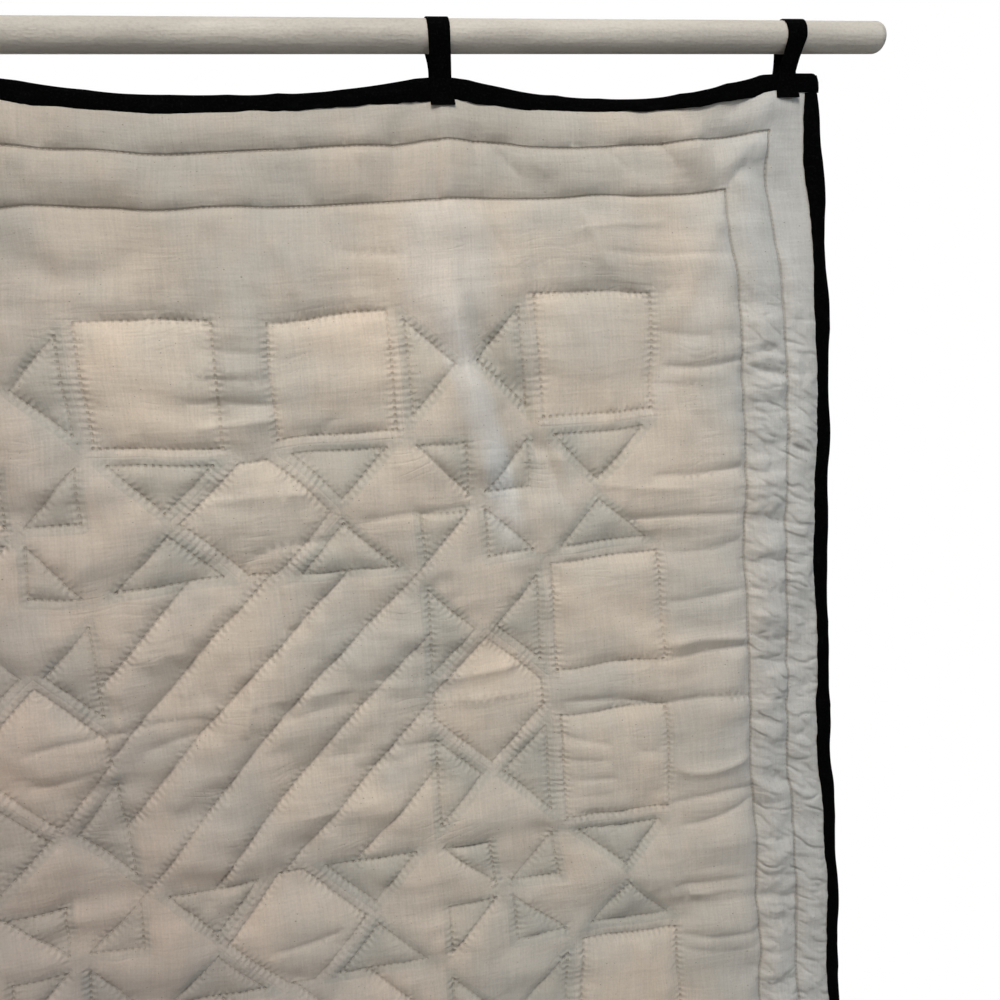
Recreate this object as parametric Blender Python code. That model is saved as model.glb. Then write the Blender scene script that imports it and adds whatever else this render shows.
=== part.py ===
"""Quilted wall hanging on a pole: a bound cotton quilt, 1.25 m square, hung by five tape tabs.

Metres, +Z up. The origin is the middle of the pole's axis, +X runs along the pole, and the
quilt's face looks towards -Y. The quilt is one filled solid with sewn channels. Its edge sits in
four folded binding strips, and each tab is a loop of flat tape round the pole.
"""

import math

import bmesh
import bpy

INCH = 0.0254
GAP = 0.0003

# Patchwork plan: three star blocks of three units each way, with a narrow sashing between them.
UNIT = 4 * INCH
SASHING = 1 * INCH

# Pole.
POLE_DIAMETER = 0.024
POLE_LENGTH = 1.372
POLE_EDGE_ROUND = 0.008
POLE_SIDES = 40
POLE_ROUND_STEPS = 4

# Quilt. The plan's centre lies below the pole, and the cloth reaches these distances from it.
PLAN_CENTRE_Z = -0.671
CLOTH_HALF_WIDTH = 0.6235
CLOTH_UP = 0.6395
CLOTH_DOWN = 0.6245
INNER_LINE = {"side": 0.5505, "top": 0.5550, "bottom": 0.5515}
OUTER_LINE = {"side": 0.5865, "top": 0.5965, "bottom": 0.5870}
RIM_HALF_THICKNESS = 0.0020
CHANNEL_HALF_THICKNESS = 0.0012
FRONT_PUFF = 0.0034
BACK_PUFF = 0.0026
CHANNEL_SHOULDER = 0.22

# Binding: folded cloth over the quilt's edge, by the width that shows on each face.
BINDING_THICKNESS = 0.0012
BINDING_WIDTH = {"side": 0.0095, "top": 0.0140, "bottom": 0.0120}

# Tabs of flat tape.
TAPE_WIDTH = 0.017
TAPE_THICKNESS = 0.0014
TAB_SEWN_LENGTH = 0.0200
TAB_ARC_STEPS = 14
TABS = (
    # x on the quilt, x on the pole
    (-0.6030, -0.6000),
    (-0.3230, -0.3260),
    (0.0030, 0.0010),
    (0.3255, 0.3250),
    (0.6000, 0.6060),
)
# The top edge between one tab and the next, left to right.
SPANS = (
    # sag at the middle, how far the edge rolls back there
    (0.0180, 0.0060),
    (0.0150, 0.0020),
    (0.0150, 0.0030),
    (0.0205, 0.0095),
)
SAG_REACH = 0.055
ROLL_REACH = 0.014
# Slow waves of the edges: size, wavelength, where a crest lies measured from the plan's centre.
RIGHT_EDGE_WAVE = (0.0038, 0.60, 0.52)
LEFT_EDGE_WAVE = (0.0032, 0.73, 0.31)
BOTTOM_EDGE_WAVE = (0.0030, 0.56, 0.17)
BOTTOM_WAVE_REACH = 0.080
EDGE_WAVE_POWER = 5
# Slow ripple of the whole cloth out of its plane.
RIPPLE = {"size": 0.0035, "across": 0.74, "down": 1.25, "fade": 0.20}

POLE_PAINT = {"color": (0.86, 0.84, 0.79, 1.0), "roughness": 0.45}
COTTON = {"color": (0.67, 0.63, 0.57, 1.0), "roughness": 0.92}
BLACK_COTTON = {"color": (0.010, 0.010, 0.012, 1.0), "roughness": 0.85}


def make_material(name, finish):
    material = bpy.data.materials.new(name)
    material.use_nodes = True
    shader = material.node_tree.nodes["Principled BSDF"]
    shader.inputs["Base Color"].default_value = finish["color"]
    shader.inputs["Roughness"].default_value = finish["roughness"]
    shader.inputs["Metallic"].default_value = 0.0
    return material


def add_piece(name, mesh, finish, smooth_below=math.radians(40)):
    """Close the bmesh, put it in an object of its own, and smooth its gentle edges."""
    bmesh.ops.recalc_face_normals(mesh, faces=mesh.faces)
    data = bpy.data.meshes.new(name)
    mesh.to_mesh(data)
    mesh.free()
    data.shade_smooth()
    data.set_sharp_from_angle(angle=smooth_below)
    data.materials.append(make_material(name, finish))
    piece = bpy.data.objects.new(name, data)
    bpy.context.scene.collection.objects.link(piece)
    return piece


def add_two_triangles(mesh, a, b, c, d):
    """Fill a quad, split from a to c, so that pieces that lie face to face fold the same way."""
    mesh.faces.new((a, b, c))
    mesh.faces.new((a, c, d))


def edge_wave(wave, place):
    size, length, crest = wave
    return size * math.cos(math.tau * (place - crest) / length)


def span_at(x):
    """(share of the way across, sag, roll) of the stretch of top edge that x lies in."""
    for left, right, (sag, roll) in zip(TABS, TABS[1:], SPANS):
        start = left[0] + TAPE_WIDTH / 2
        end = right[0] - TAPE_WIDTH / 2
        if start < x < end:
            return (x - start) / (end - start), sag, roll
    return 0.0, 0.0, 0.0


def hang(x, y, z):
    """Where a point of the flat, stretched-out quilt goes when it hangs; z is from its centre."""
    drop = CLOTH_UP - z
    share, sag, roll = span_at(x)
    pull = edge_wave(RIGHT_EDGE_WAVE if x > 0 else LEFT_EDGE_WAVE, z)
    side = abs(x) / CLOTH_HALF_WIDTH
    ripple = RIPPLE["size"] * math.sin(math.tau * x / RIPPLE["across"] + 0.6)
    ripple *= math.cos(math.tau * z / RIPPLE["down"]) * (1 - math.exp(-((drop / RIPPLE["fade"]) ** 2)))
    lift = edge_wave(BOTTOM_EDGE_WAVE, x) * math.exp(-(z + CLOTH_DOWN) / BOTTOM_WAVE_REACH)
    slack = math.sin(math.pi * share)
    return (
        x + math.copysign(pull, x) * side**EDGE_WAVE_POWER,
        y + ripple + roll * slack**4 * math.exp(-drop / ROLL_REACH),
        PLAN_CENTRE_Z + z + lift - sag * slack * math.exp(-drop / SAG_REACH),
    )


def main_channels(way):
    """The sewn lines out from the plan's middle: unit seams, the sashing, the two border lines."""
    sashing_middle = 1.5 * UNIT + SASHING / 2
    seams = [UNIT / 2, sashing_middle, sashing_middle + SASHING / 2 + UNIT]
    seams += [seams[-1] + UNIT, seams[-1] + 2 * UNIT]
    return seams + [INNER_LINE[way], OUTER_LINE[way]]


def stations_out(way, edge):
    """(distance, puff) from the middle to the edge. Puff is 0 in a channel, 1 on a crown."""
    stations = []
    last = 0.0
    for channel in main_channels(way):
        width = channel - last
        if last == 0.0:
            stations.append((width * (1 - 2 * CHANNEL_SHOULDER), 1.0))
        elif width > 0.09:
            stations.append((last + width * CHANNEL_SHOULDER, 1.0))
            stations.append((channel - width * CHANNEL_SHOULDER, 1.0))
        else:
            stations.append(((last + channel) / 2, 1.0))
        stations.append((channel, 0.0))
        last = channel
    bound = edge - BINDING_WIDTH[way]
    stations.append(((last + bound) / 2, 0.8))
    stations.append((bound, None))
    stations.append((edge, None))
    return stations


def both_ways(low, high):
    """Stations from one edge to the other, as (place, puff), with None where the rim is flat."""
    return [(-place, puff) for place, puff in reversed(low)] + high


COLUMNS = both_ways(
    stations_out("side", CLOTH_HALF_WIDTH), stations_out("side", CLOTH_HALF_WIDTH)
)
ROWS = both_ways(stations_out("bottom", CLOTH_DOWN), stations_out("top", CLOTH_UP))


def half_thickness(column_puff, row_puff, puff_height):
    if column_puff is None or row_puff is None:
        return RIM_HALF_THICKNESS
    return CHANNEL_HALF_THICKNESS + puff_height * min(column_puff, row_puff)


def make_quilt():
    """Front and back sheets over the same stations, joined along the rim."""
    mesh = bmesh.new()
    sheets = []
    for towards, puff_height in ((-1, FRONT_PUFF), (1, BACK_PUFF)):
        sheet = []
        for z, row_puff in ROWS:
            row = []
            for x, column_puff in COLUMNS:
                y = towards * half_thickness(column_puff, row_puff, puff_height)
                row.append(mesh.verts.new(hang(x, y, z)))
            sheet.append(row)
        sheets.append(sheet)
        for lower, upper in zip(sheet, sheet[1:]):
            for corners in zip(lower, lower[1:], upper[1:], upper):
                add_two_triangles(mesh, *corners)

    def rim(sheet):
        right = [row[-1] for row in sheet[1:]]
        top = sheet[-1][-2::-1]
        left = [row[0] for row in sheet[-2::-1]]
        return sheet[0] + right + top + left[:-1]

    front, back = (rim(sheet) for sheet in sheets)
    for i in range(len(front)):
        mesh.faces.new((front[i - 1], front[i], back[i], back[i - 1]))
    add_piece("quilt", mesh, COTTON)


def binding_section(edge, width, outward):
    """The folded strip's outline as (distance from the middle, y), round the U and back."""
    inner = RIM_HALF_THICKNESS + GAP
    outer = inner + BINDING_THICKNESS
    lip = edge - width
    cavity = edge + GAP
    crest = cavity + BINDING_THICKNESS
    outside = [(lip, -outer), (crest, -outer), (crest, outer), (lip, outer)]
    inside = [(lip, -inner), (cavity, -inner), (cavity, inner), (lip, inner)]
    return [(outward * place, y) for place, y in outside + inside]


def make_strip(name, section, stations, runs_along_x, closed_ends):
    """Carry the U section along its edge; a closed end is a folded-in wall."""
    mesh = bmesh.new()
    rings = []
    for station in stations:
        ring = []
        for across, y in section:
            flat = (station, y, across) if runs_along_x else (across, y, station)
            ring.append(mesh.verts.new(hang(*flat)))
        rings.append(ring)
    # Pairs of neighbours round the U: outside 0-1-2-3, inside 4-5-6-7, and its two lips.
    walls = ((0, 1), (1, 2), (2, 3), (3, 7), (7, 6), (6, 5), (5, 4), (4, 0))
    for here, there in zip(rings, rings[1:]):
        for a, b in walls:
            low, high = (a, b) if section[a][0] <= section[b][0] else (b, a)
            add_two_triangles(mesh, here[low], there[low], there[high], here[high])
    for ring, station, sign in ((rings[0], stations[0], -1), (rings[-1], stations[-1], 1)):
        if not closed_ends:
            for a in range(3):
                mesh.faces.new((ring[a], ring[a + 1], ring[a + 5], ring[a + 4]))
            continue
        wall = station + sign * BINDING_THICKNESS
        end = [mesh.verts.new(hang(wall, y, across)) for across, y in section[:4]]
        mesh.faces.new(ring[4:])
        mesh.faces.new(end)
        for a in range(3):
            mesh.faces.new((ring[a], ring[a + 1], end[a + 1], end[a]))
        mesh.faces.new((ring[0], end[0], end[3], ring[3], ring[7], ring[4]))
    add_piece(name, mesh, BLACK_COTTON)


def make_binding():
    """Top and bottom strips run the whole width, and the side strips butt up between them."""
    columns = [place for place, _ in COLUMNS]
    columns[0] -= GAP
    columns[-1] += GAP
    for name, edge, outward in (("top", CLOTH_UP, 1), ("bottom", CLOTH_DOWN, -1)):
        section = binding_section(edge, BINDING_WIDTH[name], outward)
        make_strip("binding_" + name, section, columns, True, True)
    rows = [place for place, _ in ROWS][1:-1]
    rows[0] += GAP
    rows[-1] -= GAP
    for name, outward in (("left", -1), ("right", 1)):
        section = binding_section(CLOTH_HALF_WIDTH, BINDING_WIDTH["side"], outward)
        make_strip("binding_" + name, section, rows, False, False)


def tab_path(x_quilt, x_pole):
    """Middle line of the tape as (x, y, z), from the front's cut end over the pole to the back."""
    radius = POLE_DIAMETER / 2 + GAP + TAPE_THICKNESS / 2
    out = RIM_HALF_THICKNESS + 2 * GAP + BINDING_THICKNESS + TAPE_THICKNESS / 2
    crest = hang(x_quilt, 0, CLOTH_UP + GAP + BINDING_THICKNESS)[2]
    reach = math.hypot(out, crest)
    # Angle, at the pole's middle, of the point where the straight leg meets the round.
    touch = math.atan2(-crest, out) - math.acos(radius / reach)
    leg = [
        (x_quilt, -out, crest - TAB_SEWN_LENGTH),
        (x_quilt, -out, crest),
    ]
    arc = []
    for step in range(TAB_ARC_STEPS + 1):
        turn = -touch + (math.pi + 2 * touch) * step / TAB_ARC_STEPS
        arc.append((x_pole, -radius * math.cos(turn), radius * math.sin(turn)))
    back = [(x, -y, z) for x, y, z in reversed(leg)]
    return leg + arc + back


def make_tab(number, x_quilt, x_pole):
    """A flat tape of rectangular section carried along its path."""
    path = tab_path(x_quilt, x_pole)
    mesh = bmesh.new()
    rings = []
    for i, (x, y, z) in enumerate(path):
        _, y0, z0 = path[max(i - 1, 0)]
        _, y1, z1 = path[min(i + 1, len(path) - 1)]
        length = math.hypot(y1 - y0, z1 - z0)
        out_y = -(z1 - z0) / length * TAPE_THICKNESS / 2
        out_z = (y1 - y0) / length * TAPE_THICKNESS / 2
        half = TAPE_WIDTH / 2
        corners = ((-half, 1), (half, 1), (half, -1), (-half, -1))
        rings.append(
            [mesh.verts.new((x + side, y + face * out_y, z + face * out_z)) for side, face in corners]
        )
    for here, there in zip(rings, rings[1:]):
        for a in range(4):
            mesh.faces.new((here[a - 1], here[a], there[a], there[a - 1]))
    mesh.faces.new(rings[0])
    mesh.faces.new(rings[-1])
    add_piece(f"tab_{number}", mesh, BLACK_COTTON)


def make_pole():
    """A dowel turned about X, its ends rounded over round a small flat."""
    radius = POLE_DIAMETER / 2
    flat = radius - POLE_EDGE_ROUND
    half = POLE_LENGTH / 2
    profile = []
    for step in range(POLE_ROUND_STEPS + 1):
        turn = math.pi / 2 * step / POLE_ROUND_STEPS
        along = half - POLE_EDGE_ROUND * (1 - math.cos(turn))
        profile.append((along, flat + POLE_EDGE_ROUND * math.sin(turn)))
    profile += [(-along, out) for along, out in reversed(profile)]
    mesh = bmesh.new()
    rings = []
    for along, out in profile:
        ring = []
        for side in range(POLE_SIDES):
            turn = math.tau * side / POLE_SIDES
            ring.append(mesh.verts.new((along, out * math.cos(turn), out * math.sin(turn))))
        rings.append(ring)
    for here, there in zip(rings, rings[1:]):
        for a in range(POLE_SIDES):
            mesh.faces.new((here[a - 1], here[a], there[a], there[a - 1]))
    mesh.faces.new(rings[0])
    mesh.faces.new(rings[-1])
    add_piece("pole", mesh, POLE_PAINT)


for thing in list(bpy.data.objects):
    bpy.data.objects.remove(thing)

make_pole()
make_quilt()
make_binding()
for number, (x_quilt, x_pole) in enumerate(TABS, start=1):
    make_tab(number, x_quilt, x_pole)
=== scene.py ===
"""Looks of the quilted wall hanging: cloth, quilting stitches, binding, tape tabs and painted pole."""

import math

import bmesh
import bpy
import numpy as np
from mathutils import Matrix, Vector
from mathutils.geometry import delaunay_2d_cdt


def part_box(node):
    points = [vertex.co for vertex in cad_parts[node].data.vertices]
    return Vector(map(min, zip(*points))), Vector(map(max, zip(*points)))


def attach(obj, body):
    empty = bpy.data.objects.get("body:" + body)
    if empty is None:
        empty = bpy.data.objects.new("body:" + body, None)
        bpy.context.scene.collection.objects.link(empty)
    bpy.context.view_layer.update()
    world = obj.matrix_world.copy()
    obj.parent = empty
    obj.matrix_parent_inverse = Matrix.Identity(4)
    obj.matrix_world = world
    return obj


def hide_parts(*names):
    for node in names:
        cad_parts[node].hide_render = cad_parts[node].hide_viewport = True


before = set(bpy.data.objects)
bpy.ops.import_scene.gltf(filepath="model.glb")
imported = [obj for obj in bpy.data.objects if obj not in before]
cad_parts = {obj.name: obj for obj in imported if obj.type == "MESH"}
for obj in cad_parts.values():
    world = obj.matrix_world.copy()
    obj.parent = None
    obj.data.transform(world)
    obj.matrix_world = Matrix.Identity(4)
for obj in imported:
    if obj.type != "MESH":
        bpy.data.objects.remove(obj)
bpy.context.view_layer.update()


# ---------------------------------------------------------------------------------------------
# Quilt. Two layers of unbleached muslin over thin cotton wadding, sewn through by hand. The
# running stitches outline each patch of a star-block plan a quarter inch in from its seams, fill
# the corners between four blocks with diagonal channels, and frame it all with two border lines.
# ---------------------------------------------------------------------------------------------

INCH = 0.0254
UNIT = 4 * INCH
HALF_UNIT = UNIT / 2
SASHING = 1 * INCH
OUTLINE = INCH / 4
BLADE_OUTLINE = (INCH / 4, INCH / 4, INCH / 32)  # its long side is quilted right beside the seam
BLOCK_PITCH = 3 * UNIT + SASHING
CHANNEL_SPACING = 2.25 * INCH
CHANNELS_EACH_SIDE = 3

PLAN_CENTRE_Z = -0.671
CLOTH_HALF_WIDTH = 0.6235
CLOTH_UP = 0.6395
CLOTH_DOWN = 0.6245
INNER_LINE = {"side": 0.5505, "top": 0.5550, "bottom": 0.5515}
OUTER_LINE = {"side": 0.5865, "top": 0.5965, "bottom": 0.5870}
BINDING_WIDTH = {"side": 0.0095, "top": 0.0140, "bottom": 0.0120}


def inset(corners, by):
    """Move each side of an anticlockwise outline inwards, by its own amount or one for all."""
    corners = np.asarray(corners, float)
    ways = np.roll(corners, -1, axis=0) - corners
    normals = np.stack([-ways[:, 1], ways[:, 0]], axis=1) / np.hypot(*ways.T)[:, None]
    offsets = (normals * corners).sum(axis=1) + by
    return np.array([
        np.linalg.solve(normals[[side - 1, side]], offsets[[side - 1, side]])
        for side in range(len(corners))
    ])


def sides_of(corners):
    """The sides of a closed outline, as rows of start and end."""
    return np.hstack([corners, np.roll(corners, -1, axis=0)])


def turned(corners, quarter_turns):
    turn = math.pi / 2 * quarter_turns
    spin = np.array([[math.cos(turn), -math.sin(turn)], [math.sin(turn), math.cos(turn)]])
    return np.asarray(corners) @ spin.T


def star_points():
    """The dark star points of one block, two in each side unit."""
    h = HALF_UNIT
    left_point = [(-h, UNIT + h), (-h, UNIT - h), (0, UNIT)]
    right_point = [(0, UNIT), (h, UNIT - h), (h, UNIT + h)]
    return [turned(shape, quarter) for quarter in range(4) for shape in (left_point, right_point)]


def pinwheel():
    """The four dark blades in the middle of a block, the long side of each last."""
    return [turned([(0, 0), (0, HALF_UNIT), (-HALF_UNIT, HALF_UNIT)], quarter) for quarter in range(4)]


def plain_square(x, z):
    h = HALF_UNIT
    return [(x - h, z - h), (x + h, z - h), (x + h, z + h), (x - h, z + h)]


def lozenge(across):
    """The background between two blocks' star points, with the sashing through its middle."""
    a = SASHING / 2
    h = HALF_UNIT
    corners = [(a + h, 0), (a, h), (-a, h), (-a - h, 0), (-a, -h), (a, -h)]
    return turned(corners, 0 if across else 1)


def frame_corners(side, top, bottom):
    return np.array([(side, top), (-side, top), (-side, -bottom), (side, -bottom)])


def patchwork_shapes():
    """(star points, blades, pale patches) of the whole plan, each a list of seam outlines."""
    stars, blades, pale = [], [], []
    rows = (-BLOCK_PITCH, 0.0, BLOCK_PITCH)
    for x in rows:
        for z in rows:
            stars += [shape + (x, z) for shape in star_points()]
            blades += [shape + (x, z) for shape in pinwheel()]
            for east in (-1, 1):
                for north in (-1, 1):
                    if max(abs(x + east * UNIT), abs(z + north * UNIT)) > BLOCK_PITCH:
                        pale.append(plain_square(x + east * UNIT, z + north * UNIT))
    for along in rows:
        for middle in (-BLOCK_PITCH / 2, BLOCK_PITCH / 2):
            pale.append(lozenge(True) + (middle, along))
            pale.append(lozenge(False) + (along, middle))
    return stars, blades, pale


def diagonal_channels():
    """Seven channels across each place where four blocks meet, all pointing at the middle."""
    reach = BLOCK_PITCH / 2 - HALF_UNIT + OUTLINE
    rows = []
    for east in (-1, 1):
        for north in (-1, 1):
            centre = np.array([east, north]) * BLOCK_PITCH / 2
            for number in range(-CHANNELS_EACH_SIDE, CHANNELS_EACH_SIDE + 1):
                shift = number * CHANNEL_SPACING
                low = max(-reach, -reach - shift)
                high = min(reach, reach - shift)
                ends = np.array([(low, low + shift), (high, high + shift)]) * (east, north)
                rows.append((ends + centre).ravel())
    return np.array(rows)


stars, blades, pale_patches = patchwork_shapes()
dark_patches = stars + blades
patch_lines = np.vstack(
    [sides_of(inset(shape, OUTLINE)) for shape in stars + pale_patches]
    + [sides_of(inset(shape, BLADE_OUTLINE)) for shape in blades]
    + [diagonal_channels()]
)
border_lines = np.vstack([sides_of(frame_corners(**line)) for line in (INNER_LINE, OUTER_LINE)])
sewn_lines = np.vstack([patch_lines, border_lines])
cloth_edge = sides_of(frame_corners(CLOTH_HALF_WIDTH, CLOTH_UP, CLOTH_DOWN))

# How it hangs: it sags between tabs, its top edge rolls back there, its edges wander and soft
# folds run down from the tabs.
TAPE_WIDTH = 0.017
TABS = (  # x on the quilt, x on the pole
    (-0.6030, -0.6000),
    (-0.3230, -0.3260),
    (0.0030, 0.0010),
    (0.3255, 0.3250),
    (0.6000, 0.6060),
)
SPANS = (  # sag at the middle, roll back
    (0.0180, 0.0060),
    (0.0150, 0.0020),
    (0.0125, 0.0030),
    (0.0170, 0.0095),
)
SAG_REACH = 0.055
ROLL_REACH = 0.014
RIGHT_EDGE_WAVE = (0.0038, 0.60, 0.52)  # size, wavelength, crest
LEFT_EDGE_WAVE = (0.0032, 0.73, 0.31)
BOTTOM_EDGE_WAVE = (0.0030, 0.56, 0.17)
BOTTOM_WAVE_REACH = 0.080
EDGE_WAVE_POWER = 5
RIPPLE = {"size": 0.0035, "across": 0.74, "down": 1.25, "fade": 0.20, "phase": 0.6}
DRIFT = {"size": 0.0018, "long": 0.060, "short": 0.040, "from": 0.020, "over": 0.030}
PULLS = (  # in millimetres: centre x and z, reach, how far piecing and sewing drew it across and up
    (184, 470, 55, 0, -7.5),
    (150, 390, 50, 0, -4.5),
    (387, -45, 60, 8.5, 4),
    (430, -60, 110, 0, 5.5),
    (286, 286, 80, 1.5, -7),
    (44, 270, 80, -4, -4.5),
    (44, 44, 80, 8, -2.5),
    (380, 470, 60, -2.5, 3.5),
    (450, 480, 60, 0, 3),
    (432, 325, 50, -3, -3),
    (30, 450, 60, -4, 0),
    (300, 40, 70, 0, 3),
    (0, 620, 170, 0, 2),
    (180, 640, 60, 0, 2),
    (450, 645, 50, 0, 3.5),
    (115, 592, 45, 0, -2.5),
    (325, 592, 30, 0, -1.2),
    (425, 592, 45, 0, -2.4),
    (500, 592, 45, 0, -1.8),
    (560, 620, 130, 0, 3.5),
    (640, 350, 230, 5, 0),
    (548, 535, 50, -5, 0),
    (586, 572, 38, -8, -2),
    (624, 552, 34, 3, 0),
)


def unit_noise(across, along, seed):
    """A smooth random field with cells of unit size, between -1 and 1."""
    table = np.random.default_rng(seed).uniform(-1, 1, (64, 64))
    cell_a, cell_b = np.floor(across).astype(int), np.floor(along).astype(int)
    a, b = across - cell_a, along - cell_b
    a, b = (share**3 * (share * (share * 6 - 15) + 10) for share in (a, b))

    def corner(i, j):
        return table[(cell_a + i) % 64, (cell_b + j) % 64]

    low = corner(0, 0) * (1 - a) + corner(1, 0) * a
    high = corner(0, 1) * (1 - a) + corner(1, 1) * a
    return low * (1 - b) + high * b


def edge_wave(wave, place):
    size, length, crest = wave
    return size * np.cos(math.tau * (place - crest) / length)


def hang(plan):
    """Places as hung, of plan points with rows of x, y and z from the plan's centre."""
    x, y, z = np.asarray(plan, float).T
    drop = CLOTH_UP - z
    share, sag, roll = np.zeros((3, len(x)))
    for left, right, (span_sag, span_roll) in zip(TABS, TABS[1:], SPANS):
        start = left[0] + TAPE_WIDTH / 2
        end = right[0] - TAPE_WIDTH / 2
        between = (start < x) & (x < end)
        share[between] = (x[between] - start) / (end - start)
        sag[between] = span_sag
        roll[between] = span_roll
    pull = np.where(x > 0, edge_wave(RIGHT_EDGE_WAVE, z), edge_wave(LEFT_EDGE_WAVE, z))
    ripple = RIPPLE["size"] * np.sin(math.tau * x / RIPPLE["across"] + RIPPLE["phase"])
    ripple *= np.cos(math.tau * z / RIPPLE["down"]) * (1 - np.exp(-((drop / RIPPLE["fade"]) ** 2)))
    lift = edge_wave(BOTTOM_EDGE_WAVE, x) * np.exp(-(z + CLOTH_DOWN) / BOTTOM_WAVE_REACH)
    slack = np.sin(math.pi * share)
    pull_x, pull_z = np.zeros((2, len(x)))
    for centre_x, centre_z, reach, draw_x, draw_z in np.array(PULLS) / 1000:
        share_drawn = np.exp(-((x - centre_x) ** 2 + (z - centre_z) ** 2) / reach**2)
        pull_x += draw_x * share_drawn
        pull_z += draw_z * share_drawn
    side = (np.abs(x) / CLOTH_HALF_WIDTH) ** EDGE_WAVE_POWER
    free = np.clip((drop - DRIFT["from"]) / DRIFT["over"], 0, 1) * DRIFT["size"]
    pull_x += free * unit_noise(x / DRIFT["long"], z / DRIFT["short"], 81)
    pull_z += free * unit_noise(x / DRIFT["short"], z / DRIFT["long"], 82)
    return np.stack(
        [
            x + np.sign(x) * pull * side + pull_x,
            y + ripple + roll * slack**4 * np.exp(-drop / ROLL_REACH),
            PLAN_CENTRE_Z + z + lift + pull_z - sag * slack * np.exp(-drop / SAG_REACH),
        ],
        axis=1,
    )


# The cloth's own relief, in metres: flat at the sewn lines, puffed between them.
LINE_HALF_THICKNESS = 0.0009
RIM_SWELL = 0.0008
PUFF = {  # height beside a line, its reach, height of the broad crown, its reach
    "front": (0.0016, 0.0028, 0.0058, 0.010),
    "back": (0.0026, 0.0045, 0.0028, 0.020),
}
RIM_REACH = 0.012
CALM_RIM = 0.008
RIM_TAPER = 0.001
TOP_FLATNESS = 0.35
FLATTER_FROM = 0.500
FLATTER_OVER = 0.060
PUCKER_SIZE = 0.0026
PUCKER_PITCH = 0.0085
PUCKER_REACH = 0.013
PUCKER_LENGTH = 0.030
WRINKLES = (  # degrees, then millimetres: spacing, length, soft height, crease height, centre, reach
    (6, 17, 60, 4.2, 5, 568, 0, 20, 900),
    (-24, 13, 36, 3.4, 4.4, 606, -50, 17, 600),
    (175, 18, 70, 3.8, 3.4, -585, 0, 40, 900),
    (7, 30, 150, 3, 4, 510, -50, 46, 460),
    (174, 34, 180, 4, 6, -510, 0, 50, 480),
    (-42, 26, 85, 5, 3, 470, 590, 130, 45),
    (-25, 28, 90, 2.6, 1.8, 100, 590, 300, 45),
    (38, 28, 85, 4.4, 2.4, -430, 590, 160, 45),
    (95, 24, 80, 4.4, 2.8, 0, -590, 700, 50),
    (4, 44, 240, 3, 2.6, 200, -20, 900, 420),
    (4, 40, 200, 1, 4, 100, -350, 600, 250),
    (9, 11, 45, 1.4, 1.6, 160, 160, 170, 170),
    (-6, 22, 90, 2.4, 2, -100, 50, 900, 700),
    (92, 60, 330, 5, 3.6, 100, 300, 900, 400),
)
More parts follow.
